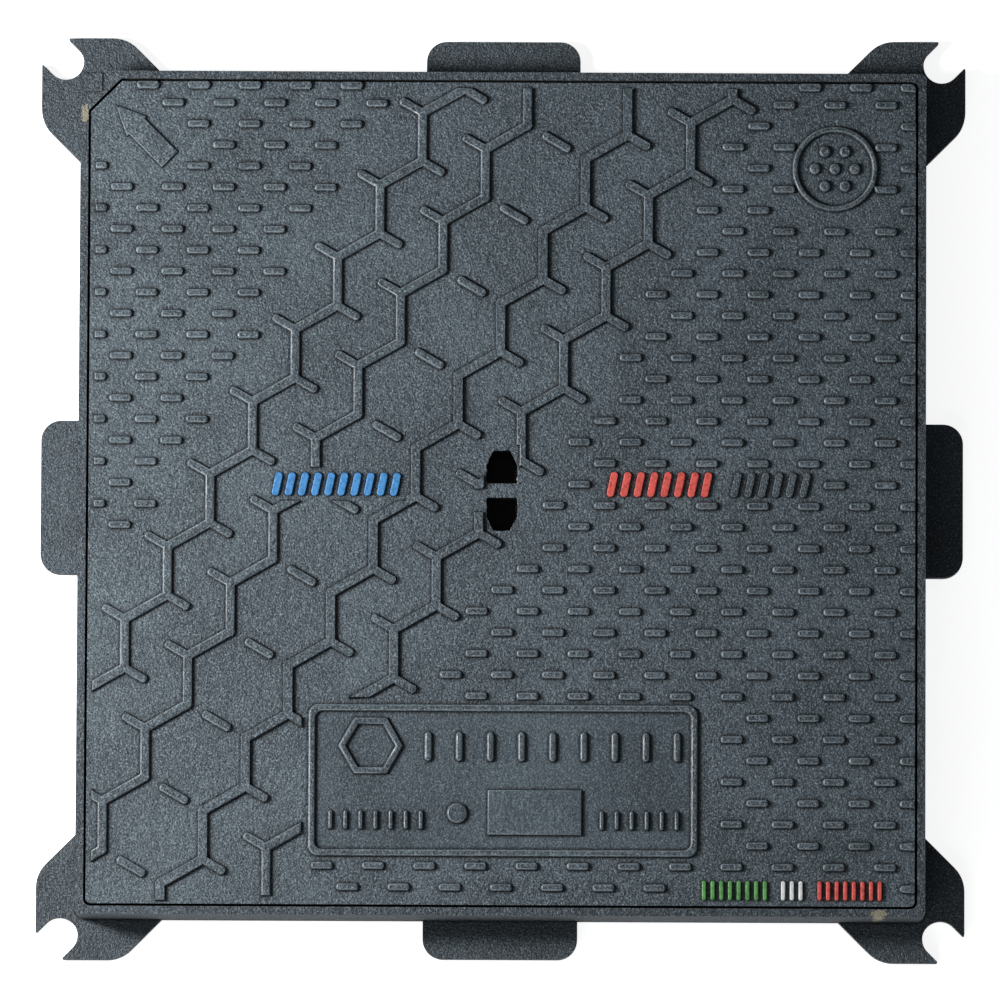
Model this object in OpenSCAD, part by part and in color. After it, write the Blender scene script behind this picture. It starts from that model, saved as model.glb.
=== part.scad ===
// Square cast-iron manhole cover in its frame.
// Origin at the centre of the frame's base, +Z up, +Y towards the keyed back corner.

/* [Frame] */
// Width of the frame over its upright walls
frame_w = 548; // [470:1:660]
// Height of the frame
frame_h = 50; // [41:1:60]
// Thickness of the upright wall at the rim
rim_t = 5.2; // [4:0.1:8]
// Slope of the wall's outer face, as extra width at the foot
wall_draft = 0.3; // [0:0.1:2]
// Width of the clear opening
clear_w = 500; // [400:1:505]
// Thickness of the seat ledge, the tabs and the lugs
flange_t = 9; // [6:0.5:12]
// Outer corner radius of the upright wall
frame_r = 5; // [0.5:0.5:8]
// How far the lugs reach past the wall
lug_reach = 26.5; // [20:0.5:34]
// How far the mid-side tabs reach past the wall
tab_reach = 25.2; // [20:0.2:34]
// Length of each mid-side tab
tab_l = 100; // [60:5:160]
// Corner radius of the tabs
tab_r = 13; // [6:1:18]
// Length of a corner lug along the wall, from the frame's corner
lug_l = 55.5; // [45:0.5:80]
// Radius where a lug's slanted edge meets its outer edge
lug_r = 22; // [10:1:30]
// Width of the anchor notch in each lug
notch_w = 23.5; // [18:0.5:28]
// Distance of the notch's centre in from the lug's outer edges
notch_inset = 15.5; // [13:0.5:17]
// Side of the small raised pad on the keyed corner
corner_pad = 12; // [6:1:14]
// Height of that pad
corner_pad_h = 1; // [0.5:0.5:2]

/* [Cover] */
// Gap between the cover and the frame's wall
cover_gap = 1.6; // [1:0.1:4]
// How far the cover's plate lies below the rim
cover_drop = 0.8; // [0:0.1:3]
// Corner radius of the cover
cover_r = 3.5; // [2:0.5:8]
// Length of the cut-off corner that lets the cover in one way round only
key_cut = 20; // [12:1:30]
// Thickness of the cover's plate
plate_t = 6; // [5:0.5:10]
// Thickness of the cover's rim skirt
skirt_t = 9; // [6:0.5:12]
// Number of cells across the stiffening grid
grid_cells = 9; // [7:2:13]
// Thickness of the grid's ribs
grid_t = 5; // [3:0.5:8]
// Depth of the grid's ribs below the plate
grid_depth = 22; // [8:1:24]

/* [Lifting point] */
// Place of the lifting bar across the cover
bar_y = 1.4; // [-5:0.1:5]
// Width of the lifting bar
bar_w = 9.2; // [8:0.2:14]
// Depth of the lifting bar
bar_depth = 10; // [7:1:12]
// Width of each key slot at the bar
slot_w = 20; // [16:0.5:24]
// Width of each key slot at its far end
slot_end_w = 11; // [8:0.5:14]
// Length of each key slot
slot_l = 21.4; // [18:0.2:24]
// Length of the slot's straight part
slot_straight = 12; // [8:0.5:16]
// Corner radius of the slots
slot_r = 1.5; // [1:0.25:3]
// Wall and floor thickness of the pocket under the slots
pocket_t = 4; // [3:0.5:6]
// Room left round the slots inside the pocket
pocket_room = 3; // [1:0.5:4]
// Depth of the pocket below the plate, floor included
pocket_depth = 20; // [18:1:22]

/* [Seat strips] */
// Width of each elastomer strip
strip_w = 10; // [8:0.5:14]
// Thickness of each strip
strip_t = 2; // [1:0.5:4]
// Gap between a strip and the frame's wall
strip_gap = 1.3; // [0.5:0.1:3]
// How far each strip stops short of the corners of the ledge
strip_end = 29; // [24:1:60]

/* [Tread] */
// Height of the tread above the plate
relief_h = 3; // [2:0.5:5]
// Length of a tread dash
dash_l = 15; // [10:0.5:20]
// Width of a tread dash
dash_w = 5.5; // [4:0.5:8]
// Distance between dashes in a row
col_pitch = 33; // [28:0.5:40]
// Distance between rows
row_pitch = 13.76; // [11:0.01:18]
// Place of a dash column from the centre of the cover
col_x = 0.5; // [-10:0.5:10]
// Place of a dash row from the centre of the cover
row_y = 5.5; // [-6:0.5:6]
// Edge length of the honeycomb
hex_a = 31.45; // [28:0.05:35]
// Width of a honeycomb rib
rib_w = 6.8; // [5:0.2:9]
// Length of a short branch of the honeycomb
stub_l = 17; // [12:0.5:20]
// Width of a short branch
stub_w = 6.2; // [5:0.2:8]
// Length of a loose slanted bar in the middle of the honeycomb
loose_l = 21.5; // [16:0.5:26]
// Extra distance between the two halves of the honeycomb
band_gap = 59.2; // [55:0.2:65]
// Bare margin left of the tread
bare_left = 3; // [0:0.5:8]
// Bare margin in front of the tread
bare_front = 1.7; // [0:0.1:8]
// Bare margin behind the honeycomb
bare_back = 3.4; // [0:0.1:8]

/* [Marks] */
// Size of the framed label panel
label_size = [252, 99];
// Place of the label panel across the cover
label_x = 1.5; // [-10:0.5:10]
// Distance of the label panel's centre from the cover's front edge
label_up = 80.4; // [60:0.2:120]
// Width of the panel's raised border
label_border = 5.2; // [3:0.2:8]
// Outer corner radius of the panel's border
label_r = 7; // [6:0.5:12]
// Outer radius of the ring mark
ring_r = 28; // [20:1:32]
// Width of the ring mark's band
ring_band = 4.3; // [3:0.1:7]
// Distance of the ring mark's centre from the cover's right and back edges
ring_inset = [52.4, 55.6];
// Height of the coloured bars
bar_h = 2.5; // [1:0.5:3]

/* [Hidden] */
$fn = 48;
eps = 0.01;
pad_inset = 1.8;
iron = [0.36, 0.39, 0.41];
elastomer = [0.08, 0.08, 0.08];

wall_out = frame_w / 2;
wall_in = wall_out - rim_t;
lug_out = wall_out + lug_reach;
clear_half = clear_w / 2;
cover_half = wall_in - cover_gap;
plate_top = frame_h - cover_drop;
cover_bottom = flange_t + strip_t;
strip_out = wall_in - strip_gap;
strip_l = 2 * (wall_in - strip_end);
key_line = 2 * cover_half - key_cut;      // y - x along the cover's cut corner
frame_key_line = key_line + cover_gap * sqrt(2);
grid_half = cover_half - skirt_t;
grid_pitch = 2 * grid_half / grid_cells;
slot_reach = bar_w / 2 + slot_l;
label_at = [label_x, label_up - cover_half];
ring_at = [cover_half - ring_inset[0], cover_half - ring_inset[1]];

// ---------- outlines ----------

// Square with rounded corners
module round_square(size, r) {
    square([size[0] - 2 * r, size[1]], center = true);
    square([size[0], size[1] - 2 * r], center = true);
    for (x = [-1, 1], y = [-1, 1])
        translate([x * (size[0] / 2 - r), y * (size[1] / 2 - r)]) circle(r);
}

// Bar with blunt ends, close to round ones, along X and centred
module blunt_bar(l, w) {
    c = 0.27 * w;
    polygon([[-l / 2, c - w / 2], [c - l / 2, -w / 2], [l / 2 - c, -w / 2], [l / 2, c - w / 2],
             [l / 2, w / 2 - c], [l / 2 - c, w / 2], [c - l / 2, w / 2], [-l / 2, w / 2 - c]]);
}

// Bar with round ends, along X and centred
module round_bar(l, w) {
    square([l - w, w], center = true);
    for (s = [-1, 1]) translate([s * (l - w) / 2, 0]) circle(d = w);
}

// Everything past the keyed corner's slanted line, where y - x is over the given value
module past_key(line) {
    translate([-line / 2, line / 2]) rotate(45) translate([-200, 0]) square([400, 200]);
}

module cover_outline() {
    difference() {
        round_square([2 * cover_half, 2 * cover_half], cover_r);
        past_key(key_line);
    }
}

// ---------- frame ----------

// One side's section, in the plane across the wall, with the outside towards +X
module side_section() {
    polygon([[clear_half, 0], [wall_out + wall_draft, 0], [wall_out, frame_h],
             [wall_in, frame_h], [wall_in, flange_t], [clear_half, flange_t]]);
}

// One side of the frame, mitred at both ends
module frame_side() {
    reach = wall_out + wall_draft;
    intersection() {
        translate([0, reach, 0]) rotate([90, 0, 0]) linear_extrude(2 * reach) side_section();
        linear_extrude(frame_h) polygon([[0, 0], [reach, -reach], [reach, reach]]);
    }
}

module tab_outline() {
    difference() {
        translate([wall_in, 0]) round_square([2 * (tab_reach + rim_t), tab_l], tab_r);
        translate([-tab_l, -tab_l]) square([tab_l + wall_in, 2 * tab_l]);
    }
}

// Corner lug at the +X +Y corner: slanted edges, a rounded turn and an open anchor notch
module lug_outline() {
    root = wall_out - lug_l;
    turn = root + lug_reach;
    bend = lug_r * tan(22.5);
    mid = turn + bend;
    notch_at = lug_out - notch_inset;
    difference() {
        polygon([[root, wall_in], [wall_in, wall_in], [wall_in, root], [wall_out, root],
                 [lug_out, turn], [lug_out, lug_out], [turn, lug_out], [root, wall_out]]);
        // rounded turns between the slanted and the outer edges
        for (m = [0, 1]) mirror([m, -m, 0]) difference() {
            polygon([[lug_out + 1, turn - bend], [lug_out - bend * sqrt(0.5), turn - bend * sqrt(0.5)],
                     [lug_out - bend * sqrt(0.5), mid], [lug_out + 1, mid]]);
            translate([lug_out - lug_r, mid]) circle(lug_r);
            translate([lug_out - 2 * lug_r, mid]) square(2 * lug_r);
        }
        translate([notch_at, notch_at]) circle(d = notch_w);
        // a hair narrower than the round end, so that its sides cross the circle
        translate([notch_at, notch_at]) rotate(45)
            translate([0, eps - notch_w / 2]) square([3 * notch_inset, notch_w - 2 * eps]);
    }
}

module frame() {
    reach = wall_out + wall_draft;
    color(iron) union() {
        intersection() {
            linear_extrude(frame_h) round_square([2 * reach, 2 * reach], frame_r);
            union() {
                for (a = [0 : 90 : 270]) rotate(a) frame_side();
                // the frame's top fills in behind the cover's cut-off corner
                linear_extrude(frame_h) intersection() {
                    translate([-wall_out, 0]) square([wall_out, wall_out]);
                    past_key(frame_key_line);
                }
            }
        }
        for (a = [0 : 90 : 270]) rotate(a) {
            linear_extrude(flange_t) tab_outline();
            linear_extrude(flange_t) lug_outline();
        }
        translate([pad_inset - wall_out, wall_out - pad_inset - corner_pad, frame_h - eps])
            cube([corner_pad, corner_pad, corner_pad_h + eps]);
    }
}

// ---------- seat strips ----------

module seat_strip(angle) {
    color(elastomer) rotate(angle)
        translate([-strip_l / 2, -strip_out, flange_t]) cube([strip_l, strip_w, strip_t]);
}

// ---------- lifting point ----------

// One key slot, from the bar's edge at y = 0 outwards along +Y
module key_slot_outline() {
    w = slot_w / 2;
    e = slot_end_w / 2;
    translate([0, slot_r]) round_bar(slot_w, 2 * slot_r);
    polygon([[-w, slot_r], [w, slot_r], [w, slot_straight], [e, slot_l], [-e, slot_l],
             [-w, slot_straight]]);
}

module both_slots() {
    translate([0, bar_y + bar_w / 2]) key_slot_outline();
    translate([0, bar_y - bar_w / 2]) mirror([0, 1]) key_slot_outline();
}

pocket_in = [slot_w + 2 * pocket_room, bar_w + 2 * (slot_l + pocket_room)];
pocket_out = pocket_in + 2 * [pocket_t, pocket_t];

// ---------- tread pattern ----------

step = [-hex_a * cos(30), -1.5 * hex_a];             // from one honeycomb turn to the next
across = [1.5 * hex_a * cos(30), -0.75 * hex_a];     // from one chain to its twin
gap_across = band_gap * [cos(30), -sin(30)];
chain_a = [-52.5, 247.0];
chain_b = chain_a + across;
chain_c = chain_b + gap_across - step / 2;
chain_d = chain_c + across - step;
down = [0, -hex_a];
branch = stub_l - stub_w / 2;                        // to the centre of a branch's tip
branch_dir = [cos(30), -sin(30)];
chain_turns = [for (k = [-4 : 14]) k];

function turn_at(chain, k) = chain + k * step;
function seg_dist(p, a, b) =
    let (d = b - a, t = max(0, min(1, (p - a) * d / (d * d)))) norm(p - a - t * d);

// Straight rib from a to b, square at both ends
module bar(a, b, w) {
    d = b - a;
    translate(a) rotate(atan2(d[1], d[0])) translate([0, -w / 2]) square([norm(d), w]);
}

function off_label(v) = abs(v[0] - label_at[0]) > label_size[0] / 2 + label_bare
    || abs(v[1] - label_at[1]) > label_size[1] / 2 + label_bare;
function on_tread(v) = abs(v[0]) < cover_half - bare_left && clear_front(v) && off_label(v);
function clear_front(v) = v[1] > bare_front - cover_half + rib_w;

module chain(start, upper, lower) {
    for (k = chain_turns) {
        t = turn_at(start, k);
        if (max(abs(t[0]), abs(t[1])) < cover_half + 2 * hex_a) {
            bar(t, t + down, rib_w);
            if (clear_front(t + down)) bar(t + down, t + step, rib_w);
            // six-sided knots close the turns, flush with the ribs
            for (v = [t, t + down]) if (clear_front(v)) translate(v) circle(rib_w / sqrt(3), $fn = 6);
            if (upper && on_tread(t)) branch_bar(t, -1);
            if (lower && on_tread(t + down)) branch_bar(t + down, 1);
        }
    }
}

module branch_bar(from, way) {
    translate(from + way * stub_l / 2 * branch_dir) rotate(-30) blunt_bar(stub_l, stub_w);
}

// Rows of bars: front left corner, size, number of bars, bar width, slant
blue_row = [[-147.6, -2.6], [81.2, 15.1], 10, 4.8, 12];
red_row = [[69, -2.6], [65.7, 16.3], 8, 4.8, 12];
plain_row = [[148.9, -2.6], [49.4, 16.3], 6, 4.8, 12];
small_y = 3.7 - cover_half;
green_row = [[cover_half - 137.2, small_y], [42, 12.5], 8, 2.7, 0];
white_row = [[cover_half - 86.2, small_y], [14, 12.5], 3, 2.7, 0];
small_red_row = [[cover_half - 62.7, small_y], [41.5, 12.5], 8, 2.7, 0];

// Corner and size of what the tread leaves bare
function around(row, room) = [row[0] - room, row[1] + 2 * room];
blue_zone = around(blue_row, [4.4, 3]);
red_zone = around(red_row, [2, 0]);
plain_zone = around(plain_row, [1, 0]);
small_zone = [green_row[0] - [2, 2.5], [120, 16]];
slot_zones = [[[-slot_w / 2 - 1, bar_y - slot_reach - 1], [slot_w + 2, 2 * slot_reach + 4]],
              [[-20, -12.5], [12, 14.5]]];

module zone(z) { translate(z[0]) square(z[1]); }

// The part of the cover that the tread may use
module tread_window() {
    intersection() {
        cover_outline();
        translate([bare_left - cover_half, bare_front - cover_half])
            square([2 * cover_half - bare_left, 2 * cover_half - bare_front]);
    }
}

loose_to_label = 8;                                  // least room from a loose bar to the label
dash_to_label = 2;                                   // least room from a dash to the label

module honeycomb() {
    intersection() {
        tread_window();
        translate([-cover_half, -cover_half]) square([2 * cover_half, 2 * cover_half - bare_back]);
        difference() {
            union() {
                chain(chain_a, true, true);
                chain(chain_b, true, false);
                chain(chain_c, false, true);
                chain(chain_d, true, true);
                for (k = chain_turns) {
                    mid = (turn_at(chain_b, k) + down + turn_at(chain_c, k + 1)) / 2;
                    if (abs(mid[0]) < cover_half - bare_left - loose_l / 2
                        && !hits(mid, label_zone, loose_to_label))
                        translate(mid) rotate(-30) blunt_bar(loose_l, stub_w);
                }
            }
            zone(blue_zone);
            for (z = slot_zones) zone(z);
            translate(label_at) square(label_size + 2 * [label_bare, label_bare], center = true);
        }
    }
}

arrow_gap = 7.7;                                     // from the arrow's tip to the cut corner
arrow_tip = key_line / sqrt(2) - arrow_gap;
arrow_l = 51;
arrow_h = 2;
arrow_head = [20.7, 19.6];
arrow_shaft_w = 15.2;

module arrow() {
    head = arrow_head[0];
    rotate(135) translate([arrow_tip - arrow_l, 0]) polygon([
        [arrow_l, 0], [arrow_l - head, arrow_head[1] / 2], [arrow_l - head, arrow_shaft_w / 2],
        [0, arrow_shaft_w / 2], [0, -arrow_shaft_w / 2], [arrow_l - head, -arrow_shaft_w / 2],
        [arrow_l - head, -arrow_head[1] / 2]]);
}

// Distances that decide where a rib or a dash is left out
label_bare = 3.5;
arrow_side = 18;
left_side = 23.9;
left_floor = -30;
right_clear = 14;
right_side = 36.7;
stub_clear = 4;
corner_clear = 12;

function perp(p, chain) = (p - chain) * [cos(30), -sin(30)];
function ends(p) = [p - [(dash_l - dash_w) / 2, 0], p, p + [(dash_l - dash_w) / 2, 0]];
function chain_gap(p) = min([for (k = chain_turns) let (t = turn_at(chain_d, k), b = t + down)
    for (e = ends(p)) min(seg_dist(e, t, b) - rib_w / 2, seg_dist(e, b, t + step) - rib_w / 2,
        seg_dist(e, b, b + branch * branch_dir) - stub_w / 2)]) - dash_w / 2;
function hits(p, z, room = 0) = abs(p[0] - z[0][0] - z[1][0] / 2) < (z[1][0] + dash_l) / 2 + room
    && abs(p[1] - z[0][1] - z[1][1] / 2) < (z[1][1] + dash_w) / 2 + room;
function ring_gap(p) = min([for (e = ends(p)) norm(e - ring_at)]) - dash_w / 2 - ring_r;
function in_left(p) = perp(p, chain_a) < -left_side && p[1] > left_floor;
function in_right(p) = perp(p, chain_d) > 0 && (chain_gap(p) > right_clear
    || (chain_gap(p) > stub_clear && perp(p, chain_d) > right_side));
function near_arrow(p) = abs(p[0] + p[1]) / sqrt(2) < arrow_side
    && (p[1] - p[0]) / sqrt(2) > arrow_tip - arrow_l - 5;
function near_key(p) = p[1] - p[0] > key_line - corner_clear * sqrt(2);
label_zone = [label_at - label_size / 2, label_size];
function kept(p) = (in_left(p) || in_right(p)) && !near_arrow(p) && !near_key(p)
    && ring_gap(p) > 0 && !hits(p, label_zone, dash_to_label) && !hits(p, red_zone)
    && !hits(p, plain_zone) && !hits(p, small_zone) && !hits(p, slot_zones[0]);

rows = ceil(cover_half / row_pitch);
cols = ceil(cover_half / col_pitch) + 1;
dashes = [for (m = [-rows : rows]) let (y = row_y + m * row_pitch)
    if (abs(y) < cover_half) for (k = [-cols : cols])
        let (x = col_x + (k + (m % 2 == 0 ? 0.5 : 0)) * col_pitch,
             p = [x, min(y, cover_half - dash_w / 2)])
        if (abs(x) < cover_half && kept(p)) p];

function at_edge(p) = abs(p[0]) + dash_l / 2 > cover_half - bare_left
    || abs(p[1]) + dash_w / 2 > cover_half - bare_left;

module dash_field() {
    for (p = dashes) if (!at_edge(p)) translate(p) blunt_bar(dash_l, dash_w);
    intersection() {
        tread_window();
        union() {
            for (p = dashes) if (at_edge(p)) translate(p) blunt_bar(dash_l, dash_w);
        }
    }
}

module label() {
    translate(label_at) difference() {
        round_square(label_size, label_r);
        round_square(label_size - 2 * [label_border, label_border], label_r - label_border / 2);
    }
}

// Plain marks in the label panel, placed from its centre
label_hex_at = [-85.5, 22.2];
label_hex_r = [21.4, 15.6];
label_stud_at = [-29.5, -21.2];
label_stud_r = 7;
label_plate_at = [20.5, -20.7];
label_plate = [61.5, 30];
label_rows = [[[-51, 11.9], [166, 19.8], 9, 5.4, 0],
              [[-113, -32.2], [62, 13], 7, 3.6, 0],
              [[62, -32.2], [52, 13], 6, 3.6, 0]];

module label_marks() {
    translate(label_at) {
        translate(label_hex_at) difference() {
            circle(label_hex_r[0], $fn = 6);
            circle(label_hex_r[1], $fn = 6);
        }
        for (r = label_rows) bar_row(r);
        translate(label_stud_at) circle(label_stud_r);
        translate(label_plate_at) square(label_plate, center = true);
    }
}

// A row of bars that fills its size
module bar_row(r) {
    h = r[1][1];
    w = r[3];
    for (i = [0 : r[2] - 1])
        translate(r[0] + [w / 2 + i * (r[1][0] - w) / (r[2] - 1), h / 2])
            rotate(90 - r[4]) round_bar(h / cos(r[4]), w);
}

ring_stud_r = 4;
ring_stud_at = 13;                                   // from the ring's centre

module ring_marks() {
    translate(ring_at) {
        difference() {
            circle(ring_r, $fn = 96);
            circle(ring_r - ring_band, $fn = 96);
        }
        circle(ring_stud_r);
        for (a = [0 : 60 : 300]) rotate(a) translate([ring_stud_at, 0]) circle(ring_stud_r);
    }
}

module painted_row(r) { translate([0, 0, plate_top]) linear_extrude(bar_h) bar_row(r); }

// ---------- cover ----------

module grid() {
    for (a = [0, 90]) rotate(a) for (i = [1 : grid_cells - 1])
        translate([-grid_half + i * grid_pitch - grid_t / 2, -grid_half - eps])
            square([grid_t, 2 * grid_half + 2 * eps]);
}

module cover() {
    color(iron) difference() {
        union() {
            // plate
            translate([0, 0, plate_top - plate_t]) linear_extrude(plate_t) cover_outline();
            // skirt that bears on the strips
            translate([0, 0, cover_bottom]) linear_extrude(plate_top - plate_t - cover_bottom + eps)
                difference() {
                    cover_outline();
                    difference() {
                        square(2 * [grid_half, grid_half], center = true);
                        past_key(key_line - skirt_t * sqrt(2));
                    }
                }
            // stiffening grid
            translate([0, 0, plate_top - plate_t - grid_depth]) linear_extrude(grid_depth + eps)
                intersection() {
                    grid();
                    cover_outline();
                }
            // pocket under the key slots
            translate([0, bar_y, plate_top - plate_t - pocket_depth])
                linear_extrude(pocket_depth + eps) square(pocket_out, center = true);
            // tread
            translate([0, 0, plate_top - eps]) linear_extrude(relief_h + eps) {
                honeycomb();
                dash_field();
                label();
                label_marks();
                ring_marks();
            }
            translate([0, 0, plate_top - eps]) linear_extrude(arrow_h + eps) arrow();
        }
        // hollow of the pocket, with the lifting bar left across it
        translate([0, bar_y, plate_top - plate_t - pocket_depth + pocket_t])
            linear_extrude(pocket_depth - pocket_t) difference() {
                square(pocket_in, center = true);
                square([pocket_in[0] + 2, bar_w], center = true);
            }
        translate([0, bar_y, plate_top - plate_t - pocket_depth + pocket_t])
            linear_extrude(plate_t + pocket_depth - pocket_t - bar_depth)
                square(pocket_in, center = true);
        translate([0, 0, plate_top - plate_t - eps]) linear_extrude(plate_t + relief_h + 1)
            both_slots();
    }
}

blue = [0.29, 0.55, 0.76];
red = [0.88, 0.36, 0.33];
green = [0.37, 0.6, 0.36];
white = [0.92, 0.93, 0.92];

module blue_bars() { color(blue) painted_row(blue_row); }
module red_bars() { color(red) painted_row(red_row); }
module plain_bars() { color(iron) painted_row(plain_row); }
module green_bars() { color(green) painted_row(green_row); }
module white_bars() { color(white) painted_row(white_row); }
module small_red_bars() { color(red) painted_row(small_red_row); }

frame();
seat_strip(0);  // seat_strip_front
seat_strip(90);  // seat_strip_right
seat_strip(180);  // seat_strip_back
seat_strip(270);  // seat_strip_left
cover();
blue_bars();
red_bars();
plain_bars();
green_bars();
white_bars();
small_red_bars();
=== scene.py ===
import math
import random

import bmesh
import bpy
from mathutils import Matrix, Vector


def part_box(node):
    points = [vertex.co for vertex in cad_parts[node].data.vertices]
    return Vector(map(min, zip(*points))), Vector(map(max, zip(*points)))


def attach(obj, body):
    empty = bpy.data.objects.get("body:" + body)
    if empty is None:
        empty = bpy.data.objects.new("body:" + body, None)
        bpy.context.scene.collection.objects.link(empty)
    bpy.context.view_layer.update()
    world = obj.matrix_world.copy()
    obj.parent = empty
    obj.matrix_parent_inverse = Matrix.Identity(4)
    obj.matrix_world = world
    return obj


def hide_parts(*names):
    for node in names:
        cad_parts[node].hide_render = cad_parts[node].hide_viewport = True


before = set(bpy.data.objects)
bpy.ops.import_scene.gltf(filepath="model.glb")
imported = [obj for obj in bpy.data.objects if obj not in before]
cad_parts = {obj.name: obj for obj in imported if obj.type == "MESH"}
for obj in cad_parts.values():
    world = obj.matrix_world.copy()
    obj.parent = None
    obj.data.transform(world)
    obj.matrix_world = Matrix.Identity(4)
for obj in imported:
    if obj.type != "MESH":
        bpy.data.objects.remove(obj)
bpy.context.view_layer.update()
mm = 0.001
print("frame loaded:", len(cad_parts), "nodes")

# Camera: nearly straight down, a long lens far away

camera = {
    "lookAt": (-1.2 * mm, -4.8 * mm, 49.5 * mm),
    "tilt": 6.0,          # degrees from straight down, towards the front
    "roll": 0.26,         # degrees
    "distance": 9.7,      # metres
    "fieldWidth": 0.6462,  # metres seen across at the cover's top
    "sensor": 36.0,
    "clip": (0.1, 60),    # metres
}


def makeCamera():
    data = bpy.data.cameras.new("camera")
    data.sensor_width = camera["sensor"]
    data.lens = camera["sensor"] * camera["distance"] / camera["fieldWidth"]
    data.clip_start, data.clip_end = camera["clip"]
    turn = Matrix.Rotation(math.radians(camera["tilt"]), 4, "X")
    turn = turn @ Matrix.Rotation(math.radians(camera["roll"]), 4, "Z")
    back = turn @ Vector((0, 0, camera["distance"]))
    obj = bpy.data.objects.new("camera", data)
    obj.matrix_world = Matrix.Translation(Vector(camera["lookAt"]) + back) @ turn
    bpy.context.scene.collection.objects.link(obj)
    bpy.context.scene.camera = obj


makeCamera()

# Light: one soft box from the left, weak fill all round

lights = {
    "keyAt": (-1.06, 0.05, 0.88),
    "keySize": (0.22, 0.6),
    "keyPower": 24.0,
    "fillAt": (-0.5, -1.6, 1.2),
    "fillSize": (1.4, 1.0),
    "fillPower": 7.0,
    "sky": 0.10,
    "skyTint": (0.93, 0.97, 1.0, 1),
}


def makeLight(name, at, size, power):
    data = bpy.data.lights.new(name, "AREA")
    data.shape = "RECTANGLE"
    data.size, data.size_y = size
    data.energy = power
    obj = bpy.data.objects.new(name, data)
    obj.location = at
    obj.rotation_euler = (-Vector(at)).to_track_quat("-Z", "Y").to_euler()
    bpy.context.scene.collection.objects.link(obj)


makeLight("keyLight", lights["keyAt"], lights["keySize"], lights["keyPower"])
makeLight("fillLight", lights["fillAt"], lights["fillSize"], lights["fillPower"])
bpy.context.scene.view_settings.view_transform = "Standard"
world = bpy.data.worlds.new("studio")
bpy.context.scene.world = world
world.use_nodes = True
sky = world.node_tree.nodes["Background"].inputs
sky["Color"].default_value = lights["skyTint"]
sky["Strength"].default_value = lights["sky"]

# Materials


def linear(hexText):
    parts = [int(hexText[i:i + 2], 16) / 255 for i in (1, 3, 5)]
    parts = [c / 12.92 if c < 0.04045 else ((c + 0.055) / 1.055) ** 2.4 for c in parts]
    return (*parts, 1.0)


def addNode(tree, kind, settings=None, links=None):
    node = tree.nodes.new("ShaderNode" + kind)
    for key, value in (settings or {}).items():
        if key == "stops":
            points = node.color_ramp.elements
            points[0].position, points[1].position = value[0][0], value[-1][0]
            for place, tone in value[1:-1]:
                points.new(place)
            for point, (place, tone) in zip(points, value):
                point.color = tone if isinstance(tone, tuple) else (tone, tone, tone, 1)
        elif isinstance(key, int) or key in node.inputs:
            node.inputs[key].default_value = value
        else:
            setattr(node, key, value)
    for key, source in (links or {}).items():
        tree.links.new(source, node.inputs[key])
    return node


def newMaterial(name):
    material = bpy.data.materials.new(name)
    material.use_nodes = True
    tree = material.node_tree
    tree.nodes.clear()
    return material, tree


def grainBump(tree, coords, grain, strength=None):
    normal = None
    for sizeMm, depthMm, detail in grain:
        noise = addNode(tree, "TexNoise",
                        {"Scale": 1 / (sizeMm * mm), "Detail": detail, "Roughness": 0.6},
                        {"Vector": coords})
        links = {"Height": noise.outputs["Fac"]}
        if normal:
            links["Normal"] = normal
        if strength:
            links["Strength"] = strength
        bump = addNode(tree, "Bump", {"Strength": 1.0, "Distance": depthMm * mm}, links)
        normal = bump.outputs["Normal"]
    return normal


def boxMask(tree, coords, box):
    # 1 inside a box given by its middle and its size, in mm
    axes = addNode(tree, "SeparateXYZ", {}, {0: coords}).outputs
    mask = None
    for axis, middle, size in zip(axes, box[:3], box[3:]):
        off = addNode(tree, "Math", {"operation": "SUBTRACT", 1: middle * mm}, {0: axis})
        away = addNode(tree, "Math", {"operation": "ABSOLUTE"}, {0: off.outputs[0]})
        near = addNode(tree, "Math", {"operation": "LESS_THAN", 1: size * mm / 2},
                       {0: away.outputs[0]}).outputs[0]
        if mask:
            near = addNode(tree, "Math", {"operation": "MULTIPLY"}, {0: mask, 1: near}).outputs[0]
        mask = near
    return mask


raggedSpot = {
    "middleZ": 0.05,      # metres, height of the spot's middle
    "halfHeight": 0.06,   # metres, how far it reaches up and down
    "grainMm": 2.5,       # size of the bits along its edge
    "ragged": 1.2,        # how far its edge wanders
    "reach": 1.35,        # a larger number widens it
}


def patchMask(tree, coords, patch):
    # 1 inside a ragged spot given by its middle and its width and depth, in mm
    x, y, wide, deep = (v * mm for v in patch)
    place = addNode(tree, "Mapping", {"vector_type": "TEXTURE",
                                      "Location": (x, y, raggedSpot["middleZ"]),
                                      "Scale": (wide / 2, deep / 2, raggedSpot["halfHeight"])},
                    {"Vector": coords})
    away = addNode(tree, "VectorMath", {"operation": "LENGTH"}, {0: place.outputs[0]})
    rough = addNode(tree, "TexNoise", {"Scale": 1 / (raggedSpot["grainMm"] * mm), "Detail": 3.0},
                    {"Vector": coords})
    edge = addNode(tree, "Math", {"operation": "MULTIPLY_ADD", 1: raggedSpot["ragged"]},
                   {0: rough.outputs["Fac"], 2: away.outputs["Value"]})
    return addNode(tree, "Math", {"operation": "LESS_THAN", 1: raggedSpot["reach"]},
                   {0: edge.outputs[0]}).outputs[0]


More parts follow.
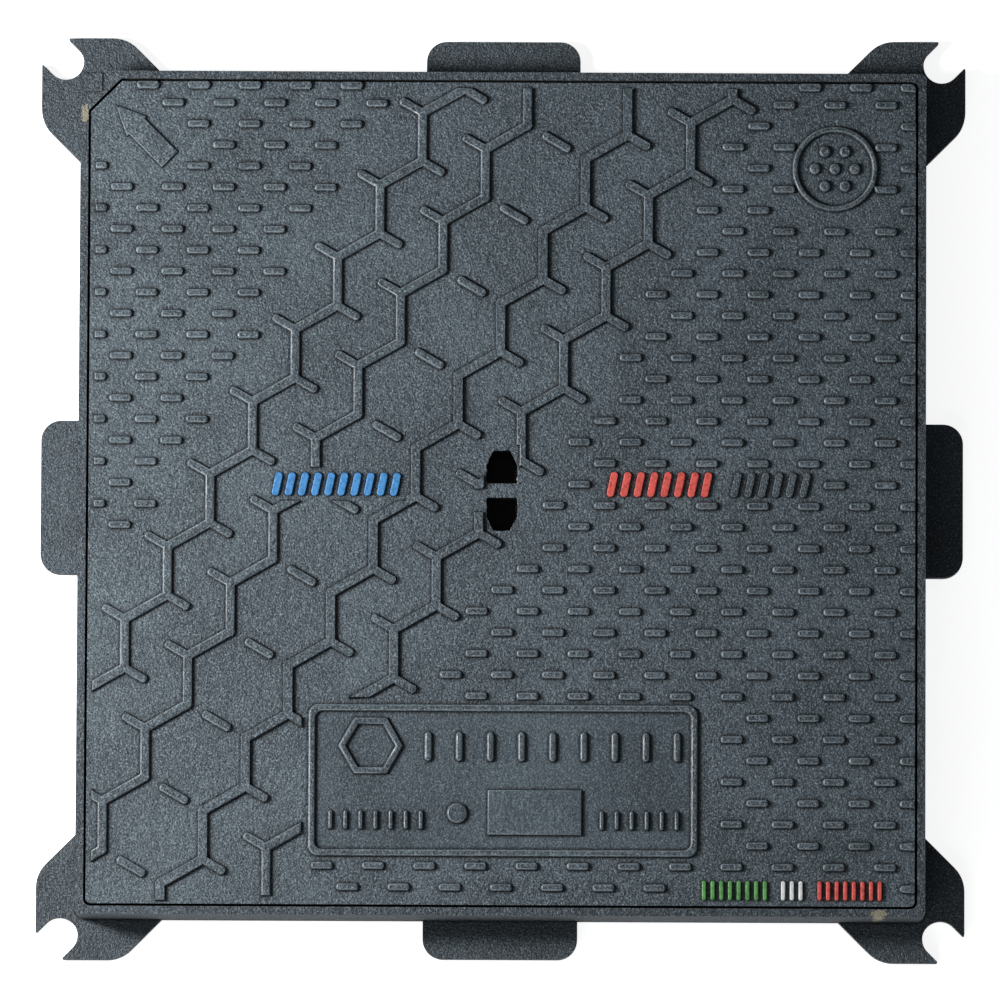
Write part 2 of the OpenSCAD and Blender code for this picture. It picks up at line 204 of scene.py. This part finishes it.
# Bitumen-based blue-black dip coat on sand-cast iron: dark, half matt, grainy, with light grains,
# rubbed smooth and a little shiny on every raised edge; raised edges are drawn lighter, partly wear
# and partly a painted highlight;
# upright faces, crevices and the slot pocket carry painted shade
coat = {
    "deep": "#39444B",
    "pale": "#4A565E",
    "grit": "#88969F",    # grains whose tops are rubbed light
    "gritStops": [(0.53, 0.0), (0.74, 0.95)],
    "pit": "#20282E",     # small hollows between the sand grains
    "pitStops": [(0.30, 0.95), (0.47, 0.0)],
    "wall": "#23292E",    # upright and under faces darkened: painted shade
    "wallStops": [(0.20, 0.9), (0.60, 0.0)],   # by how far a face leans, 0 upright
    "wallMatt": 0.45,     # how much rougher walls are
    "worn": "#9CA8B0",    # raised edges rubbed by feet and tyres, drawn lighter also as a painted highlight
    "edgeStops": [(0.55, 0.0), (0.74, 1.0), (0.92, 1.0), (0.98, 0.0)],
    "wornShare": 0.45,
    "wornShine": -0.14,   # how much less rough worn edges are
    "wornCalm": -0.75,    # how much less grainy they are
    "rubbedMm": 7.0,      # size of the spots where the wear is strong
    "rubbedStops": [(0.35, 0.35), (0.60, 1.0)],
    # painted shade: near black laid in crevices, at the feet of raised parts and in the slot pocket
    "dirt": "#06080A",
    "dirtStops": [(0.64, 1.0), (0.93, 0.0)],
    "roughness": (0.36, 0.60),
    "roughRange": (0.3, 0.7),
    "grain": [(8.0, 0.5, 1.0), (2.2, 0.5, 1.0), (1.2, 0.65, 2.0)],  # size mm, depth mm, detail
    "gritMm": 1.1,        # drawn coarser than the real sand, which is about 0.3 mm
    "patchMm": 60.0,
    "patchRange": (0.35, 0.65),
    "dirtReachMm": 2.2,
    "smoothBox": None,    # middle and size in mm of a smoother panel
    "smoothShare": 0.35,
    "sootBox": None,      # middle and size in mm of a part that no light reaches
    "scuffs": [],         # middle and size in mm of beige scrapes
    "scuff": "#8B8674",
}


def makeCoat(name, settings):
    material, tree = newMaterial(name)
    coords = addNode(tree, "TexCoord").outputs["Object"]
    patch = addNode(tree, "TexNoise", {"Scale": 1 / (settings["patchMm"] * mm), "Detail": 4.0},
                    {"Vector": coords}).outputs["Fac"]
    start, end = settings["patchRange"]
    colour = addNode(tree, "ValToRGB", {"stops": [(start, linear(settings["deep"])),
                                                  (end, linear(settings["pale"]))]},
                     {"Fac": patch}).outputs["Color"]
    grit = addNode(tree, "TexNoise", {"Scale": 1 / (settings["gritMm"] * mm), "Detail": 2.0},
                   {"Vector": coords}).outputs["Fac"]
    gritMask = addNode(tree, "ValToRGB", {"stops": settings["gritStops"]}, {"Fac": grit}).outputs[0]
    pitMask = addNode(tree, "ValToRGB", {"stops": settings["pitStops"]}, {"Fac": grit}).outputs[0]

    # how far each face leans: 1 flat, 0 upright
    normal = addNode(tree, "NewGeometry").outputs["Normal"]
    lean = addNode(tree, "SeparateXYZ", {}, {0: normal}).outputs["Z"]
    # upright faces get painted shade in the colour and a rougher finish in the roughness
    wallShadeAndMattMask = addNode(tree, "ValToRGB", {"stops": settings["wallStops"]}, {"Fac": lean}).outputs[0]
    edgeMask = addNode(tree, "ValToRGB", {"stops": settings["edgeStops"]}, {"Fac": lean}).outputs[0]
    rubbed = addNode(tree, "TexNoise", {"Scale": 1 / (settings["rubbedMm"] * mm), "Detail": 3.0},
                     {"Vector": coords})
    rubbedMask = addNode(tree, "ValToRGB", {"stops": settings["rubbedStops"]},
                         {"Fac": rubbed.outputs["Fac"]}).outputs[0]
    wear = addNode(tree, "Math", {"operation": "MULTIPLY"}, {0: edgeMask, 1: rubbedMask}).outputs[0]
    strength = addNode(tree, "Math", {"operation": "MULTIPLY_ADD", 1: settings["wornCalm"], 2: 1.0},
                       {0: wear}).outputs[0]
    if settings["smoothBox"]:
        inside = boxMask(tree, coords, settings["smoothBox"])
        calm = addNode(tree, "Math", {"operation": "MULTIPLY_ADD", 1: -settings["smoothShare"],
                                      2: 1.0}, {0: inside}).outputs[0]
        gritMask, pitMask, strength = (
            addNode(tree, "Math", {"operation": "MULTIPLY"}, {0: value, 1: calm}).outputs[0]
            for value in (gritMask, pitMask, strength))
    # raised edges lighter: partly wear, partly painted highlight
    wornAndHighlightMask = addNode(tree, "Math", {"operation": "MULTIPLY", 1: settings["wornShare"]},
                       {0: wear}).outputs[0]
    layers = [(wallShadeAndMattMask, "wall"), (gritMask, "grit"), (pitMask, "pit"), (wornAndHighlightMask, "worn")]
    layers += [(patchMask(tree, coords, scuff), "scuff") for scuff in settings["scuffs"]]
    # painted shade: ambient occlusion darkens crevices and the feet of raised parts
    shade = addNode(tree, "AmbientOcclusion",
                    {"samples": 6, "Distance": settings["dirtReachMm"] * mm}).outputs["AO"]
    layers.append((addNode(tree, "ValToRGB", {"stops": settings["dirtStops"]},
                           {"Fac": shade}).outputs[0], "dirt"))
    # painted shade: the slot pocket under the lifting bar is painted near black
    if settings["sootBox"]:
        layers.append((boxMask(tree, coords, settings["sootBox"]), "dirt"))
    for mask, tone in layers:
        colour = addNode(tree, "Mix", {"data_type": "RGBA", 7: linear(settings[tone])},
                         {0: mask, 6: colour}).outputs[2]

    start, end = settings["roughRange"]
    low, high = settings["roughness"]
    rough = addNode(tree, "MapRange", {"From Min": start, "From Max": end,
                                       "To Min": low, "To Max": high}, {"Value": grit}).outputs[0]
    for mask, change in ((wear, settings["wornShine"]), (wallShadeAndMattMask, settings["wallMatt"])):
        rough = addNode(tree, "Math", {"operation": "MULTIPLY_ADD", 1: change},
                        {0: mask, 2: rough}).outputs[0]
    normal = grainBump(tree, coords, settings["grain"], strength)
    shader = addNode(tree, "BsdfPrincipled", {"IOR": 1.5, "Metallic": 0.0},
                     {"Base Color": colour, "Roughness": rough, "Normal": normal})
    addNode(tree, "OutputMaterial", {}, {"Surface": shader.outputs["BSDF"]})
    return material


enamel = {
    "patchMm": 2.5,       # size of the thin spots
    "patchRange": (0.3, 0.55),
    "grain": [(2.5, 0.25, 1.0), (0.9, 0.12, 1.0)],  # size mm, depth mm, detail
    "roughness": 0.35,
}


def makePaint(name, main, worn, roughness):
    material, tree = newMaterial(name)
    coords = addNode(tree, "TexCoord").outputs["Object"]
    patch = addNode(tree, "TexNoise", {"Scale": 1 / (enamel["patchMm"] * mm), "Detail": 3.0},
                    {"Vector": coords})
    start, end = enamel["patchRange"]
    colour = addNode(tree, "ValToRGB", {"stops": [(start, linear(worn)), (end, linear(main))]},
                     {"Fac": patch.outputs["Fac"]}).outputs["Color"]
    normal = grainBump(tree, coords, enamel["grain"])
    shader = addNode(tree, "BsdfPrincipled", {"IOR": 1.5, "Roughness": roughness},
                     {"Base Color": colour, "Normal": normal})
    addNode(tree, "OutputMaterial", {}, {"Surface": shader.outputs["BSDF"]})
    return material


# the cover's label panel is smoother; the slot pocket under the lifting bar gets painted shade
coverCoat = makeCoat("coverDipCoat", {**coat, "smoothBox": (1.5, -186.8, 50, 241.6, 88.6, 20),
                                      "sootBox": (0, 1.4, 30, 26, 62, 33)})
frameCoat = makeCoat("frameDipCoat", {
    **coat, "deep": "#2F373D", "pale": "#3D474E", "grit": "#76848D",
    "grain": [(6.0, 0.8, 1.0), (1.8, 0.8, 2.0), (1.0, 0.65, 1.0)],
    "scuffs": [(-271, 246, 7, 15), (244, -272, 14, 8)]})
# Enamel brushed on the marks' tops: even, clean colour, slightly glossy, thinner in small patches
paints = {
    "blue_bars": makePaint("blueEnamel", "#4E90CB", "#3A74A8", enamel["roughness"]),
    "red_bars": makePaint("redEnamel", "#E2625A", "#B84A45", enamel["roughness"]),
    "small_red_bars": makePaint("smallRedEnamel", "#E2625A", "#B84A45", enamel["roughness"]),
    "green_bars": makePaint("greenEnamel", "#62A25C", "#4A7E46", enamel["roughness"]),
    "white_bars": makePaint("whiteEnamel", "#E9ECEC", "#C5CBCC", enamel["roughness"]),
}
# Moulded black elastomer: matt, even, no grain to speak of
rubber = makePaint("blackSeatRubber", "#1B1C1D", "#2A2B2C", 0.7)
print("materials made")

# Pieces: merged copies of the CAD shapes, with cast edges rounded

shaping = {
    "weldMm": 0.003,      # corners closer than this are one
    "flatDegrees": 0.5,   # faces that differ by less than this are one
    "edgeDegrees": 30,    # edges sharper than this can be rounded
    "creaseDegrees": 40,  # edges sharper than this stay sharp in the shading
    "nearMm": 0.05,       # how close to a height counts as at it
    "uprightMm": 0.01,    # how far apart in plan the ends of an upright edge can be
}


def mergedCopy(nodeName):
    bm = bmesh.new()
    bm.from_mesh(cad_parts[nodeName].data)
    bmesh.ops.remove_doubles(bm, verts=bm.verts, dist=shaping["weldMm"] * mm)
    return bm


def flatten(bm):
    bmesh.ops.dissolve_limit(bm, angle_limit=math.radians(shaping["flatDegrees"]),
                             verts=bm.verts, edges=bm.edges, delimit=set())


def sharpEdges(bm, test):
    limit = math.radians(shaping["edgeDegrees"])
    return [edge for edge in bm.edges
            if len(edge.link_faces) == 2 and edge.calc_face_angle(0) > limit and test(edge)]


def isUpright(edge):
    first, second = edge.verts
    return (first.co.xy - second.co.xy).length < shaping["uprightMm"] * mm


def islands(edges):
    left = set(edges)
    groups = []
    while left:
        start = left.pop()
        group, queue = [start], [start]
        while queue:
            edge = queue.pop()
            for vert in edge.verts:
                for other in vert.link_edges:
                    if other in left:
                        left.remove(other)
                        group.append(other)
                        queue.append(other)
        groups.append(group)
    return groups


def bevelEdges(bm, edges, offsetMm, segments):
    bmesh.ops.bevel(bm, geom=edges, offset=offsetMm * mm, offset_type="OFFSET", affect="EDGES",
                    segments=segments, profile=0.5, material=-1, clamp_overlap=True)


def finishPiece(bm, name, nodeName, body, material):
    for face in bm.faces:
        face.smooth = True
    for edge in bm.edges:
        if len(edge.link_faces) == 2:
            edge.smooth = edge.calc_face_angle(0) < math.radians(shaping["creaseDegrees"])
    mesh = bpy.data.meshes.new(name)
    bm.to_mesh(mesh)
    bm.free()
    obj = bpy.data.objects.new(name, mesh)
    bpy.context.scene.collection.objects.link(obj)
    mesh.materials.append(material)
    weighted = obj.modifiers.new("weightedNormals", "WEIGHTED_NORMAL")
    weighted.keep_sharp = True
    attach(obj, body)
    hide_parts(nodeName)


draft = {
    "wallZ": 0.1,         # a face whose normal rises less than this is a wall
    "sameWay": 0.999,     # walls that face the same way count once
    "cornerShare": 0.35,  # a smaller number lets narrow corners move further
    "turnShare": 0.25,    # an edge that would shrink below this share stays
    "rounds": 5,
}


def draftWalls(bm, low, high, slopeMm, keepInside):
    # cast walls lean: their tops draw in, their feet stay where they are
    near = shaping["nearMm"] * mm
    moves = {}
    for vert in bm.verts:
        if abs(vert.co.z - high) > near or max(abs(vert.co.x), abs(vert.co.y)) > keepInside:
            continue
        walls = [face for face in vert.link_faces if abs(face.normal.z) < draft["wallZ"]]
        if any(min(v.co.z for v in face.verts) < low - near for face in walls):
            continue
        normals = []
        for face in walls:
            flat = Vector((face.normal.x, face.normal.y, 0)).normalized()
            if all(flat.dot(other) < draft["sameWay"] for other in normals):
                normals.append(flat)
        if not normals:
            continue
        total = sum(normals, Vector((0, 0, 0)))
        share = total / max(draft["cornerShare"], total.length_squared / len(normals))
        moves[vert] = -share * slopeMm * mm
    still = Vector((0, 0, 0))
    held = 0
    for _ in range(draft["rounds"]):
        # a short edge that would turn over keeps its ends where they are
        turned = set()
        for edge in bm.edges:
            first, second = edge.verts
            if first not in moves and second not in moves:
                continue
            before = second.co - first.co
            after = before + moves.get(second, still) - moves.get(first, still)
            if before.dot(after) < draft["turnShare"] * before.length_squared:
                turned.update(edge.verts)
        if not turned:
            break
        for vert in turned:
            held += moves.pop(vert, None) is not None
    for vert, move in moves.items():
        vert.co += move
    print("drafted", len(moves), "corners, left", held)


cover = {
    "treadMm": 3.0,       # height of the tread over the plate
    "bandMm": 0.2,        # how close to a top counts as part of it
    "mergeMm": 0.5,       # short steps between ribs and branches go
    "slopeMm": 0.6,       # how far the tops of raised parts draw in
    "keepMm": 1.5,        # nothing this close to the cover's side draws in
    "treadRoundMm": 1.3,
    "arrowMm": 2.0,       # height of the arrow over the plate
    "arrowRoundMm": 0.7,
    "slotRoundMm": 0.7,
    "rimRoundMm": 0.9,
    "rimMm": 0.1,         # how close to the cover's side the rim's edge lies
    "lowerMm": 4.0,       # what lies this far under the plate's top is underside
    "lowerRoundMm": 0.8,
}
slotChips = {
    "seed": 4,
    "barMm": 1.4,         # y of the lifting bar's middle
    "halfWidthMm": 11.2,  # the slots' edges lie inside this x
    "reachMm": (4, 27.5),  # and this far from the bar's middle
    "straightMm": 5.5,    # edges nearer to the bar's middle stay straight
    "longMm": 2,          # shorter edges aren't cut up
    "cuts": 5,
    "depthMm": (-0.2, 0.5),
}


def roughenSlots(bm, top):
    # chipped edges where keys have been pushed in
    chips = random.Random(slotChips["seed"])
    close, far = slotChips["reachMm"]
    bar = slotChips["barMm"]

    def onSlotEdge(vert):
        x, y, z = vert.co / mm
        return (abs(z - top / mm) < shaping["nearMm"] and abs(x) < slotChips["halfWidthMm"]
                and close < abs(y - bar) < far)

    edges = sharpEdges(bm, lambda e: all(onSlotEdge(v) for v in e.verts))
    print("slot edges:", len(edges))
    longEdges = [e for e in edges if e.calc_length() > slotChips["longMm"] * mm]
    cut = bmesh.ops.subdivide_edges(bm, edges=longEdges, cuts=slotChips["cuts"])
    for vert in [g for g in cut["geom_inner"] if isinstance(g, bmesh.types.BMVert)]:
        away = Vector((vert.co.x, vert.co.y - bar * mm, 0)).normalized()
        if abs(vert.co.y - bar * mm) > slotChips["straightMm"] * mm:
            vert.co += away * chips.uniform(*slotChips["depthMm"]) * mm
    return onSlotEdge


def columnOf(vert):
    return round(vert.co.x, 6), round(vert.co.y, 6)


def makeCover():
    bm = mergedCopy("cover")
    low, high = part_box("cover")
    half = high[0]
    treadTop = high[2]
    plateTop = treadTop - cover["treadMm"] * mm
    arrowTop = plateTop + cover["arrowMm"] * mm
    band = cover["bandMm"] * mm
    near = shaping["nearMm"] * mm
    tops = {columnOf(v) for v in bm.verts if v.co.z > treadTop - band}
    relief = [v for v in bm.verts if v.co.z > plateTop - band and columnOf(v) in tops]
    bmesh.ops.remove_doubles(bm, verts=relief, dist=cover["mergeMm"] * mm)
    flatten(bm)
    print("cover copy:", len(bm.faces), "faces")
    for top in (treadTop, arrowTop):
        draftWalls(bm, plateTop, top, cover["slopeMm"], half - cover["keepMm"] * mm)
    onSlotEdge = roughenSlots(bm, plateTop)
    topEdges = sharpEdges(bm, lambda e: min(v.co.z for v in e.verts) > treadTop - band)
    for group in islands(topEdges):
        bevelEdges(bm, group, cover["treadRoundMm"], 3)
    bevelEdges(bm, sharpEdges(bm, lambda e: all(onSlotEdge(v) for v in e.verts)),
               cover["slotRoundMm"], 2)
    arrowEdges = sharpEdges(bm, lambda e: all(abs(v.co.z - arrowTop) < near for v in e.verts))
    print("arrow edges:", len(arrowEdges))
    bevelEdges(bm, arrowEdges, cover["arrowRoundMm"], 2)
    side = half - cover["rimMm"] * mm
    rimEdges = sharpEdges(bm, lambda e: all(abs(v.co.z - plateTop) < near
                                            and max(abs(v.co.x), abs(v.co.y)) > side
                                            for v in e.verts))
    print("rim edges:", len(rimEdges))
    for group in islands(rimEdges):
        bevelEdges(bm, group, cover["rimRoundMm"], 2)
    underside = plateTop - cover["lowerMm"] * mm
    for group in islands(sharpEdges(bm, lambda e: max(v.co.z for v in e.verts) < underside)):
        bevelEdges(bm, group, cover["lowerRoundMm"], 1)
    finishPiece(bm, "coverCasting", "cover", "cover_body", coverCoat)


frameCasting = {
    "lugAtMm": 280,       # upright edges farther out than this are the lugs' tips
    "lugRoundMm": 1.8,
    "wellAtMm": 268.8,    # half the well's width
    "wellNearMm": 0.1,
    "wellTopMm": 49.9,    # the well's corners reach higher than this
    "wellRoundMm": 4.5,   # filled round, alongside the cover's own round corners
    "roundMm": 0.9,
}


def makeFrame():
    bm = mergedCopy("frame")
    flatten(bm)
    lugAt, wellAt, wellTop, wellNear = (
        frameCasting[key] * mm for key in ("lugAtMm", "wellAtMm", "wellTopMm", "wellNearMm"))
    tips = sharpEdges(bm, lambda e: min(abs(c) for v in e.verts for c in v.co.xy) > lugAt
                      and isUpright(e))
    print("lug tip edges:", len(tips))
    bevelEdges(bm, tips, frameCasting["lugRoundMm"], 3)
    corners = [e for e in bm.edges if isUpright(e) and max(v.co.z for v in e.verts) > wellTop
               and all(abs(abs(c) - wellAt) < wellNear for v in e.verts for c in v.co.xy)]
    print("well corner edges:", len(corners))
    bevelEdges(bm, corners, frameCasting["wellRoundMm"], 4)
    bevelEdges(bm, sharpEdges(bm, lambda e: True), frameCasting["roundMm"], 2)
    finishPiece(bm, "frameCasting", "frame", "frame_body", frameCoat)


makeCover()
makeFrame()
print("castings made")


marks = {
    "bandMm": 0.1,        # how close to a top counts as part of it
    "roundMm": 0.8,
    "slots": {"blue_bars": "blue_enamel", "red_bars": "red_enamel", "small_red_bars": "red_enamel",
              "green_bars": "green_enamel", "white_bars": "white_enamel",
              "plain_bars": "cover_iron"},
}


def makeBars(nodeName):
    bm = mergedCopy(nodeName)
    flatten(bm)
    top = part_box(nodeName)[1][2]
    band = marks["bandMm"] * mm
    for group in islands(sharpEdges(bm, lambda e: min(v.co.z for v in e.verts) > top - band)):
        bevelEdges(bm, group, marks["roundMm"], 2)
    return bm


for nodeName, slot in marks["slots"].items():
    finishPiece(makeBars(nodeName), nodeName.replace("_", "") + "Marks", nodeName,
                "cover_body", paints.get(nodeName, coverCoat))

for nodeName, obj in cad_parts.items():
    if nodeName.startswith("seat_strip"):
        for materialSlot in obj.material_slots:
            materialSlot.material = rubber
print("marks and strips made")

# Floor

paper = {
    "size": 8.0,          # metres
    "dropMm": 0.5,        # how far below the lugs it lies
    "colour": "#F4F4F4",
    "roughness": 0.9,
    "glow": 0.85,         # lit from itself, so that it stays white
}
bm = bmesh.new()
bmesh.ops.create_grid(bm, x_segments=2, y_segments=2, size=paper["size"] / 2,
                      matrix=Matrix.Translation((0, 0, -paper["dropMm"] * mm)))
mesh = bpy.data.meshes.new("floor")
bm.to_mesh(mesh)
bm.free()
floor = bpy.data.objects.new("floor", mesh)
bpy.context.scene.collection.objects.link(floor)
floorPaper, tree = newMaterial("whitePaper")
shader = addNode(tree, "BsdfPrincipled", {"Base Color": linear(paper["colour"]),
                                          "Roughness": paper["roughness"],
                                          "Emission Color": (1, 1, 1, 1),
                                          "Emission Strength": paper["glow"]})
addNode(tree, "OutputMaterial", {}, {"Surface": shader.outputs["BSDF"]})
mesh.materials.append(floorPaper)
print("floor made")
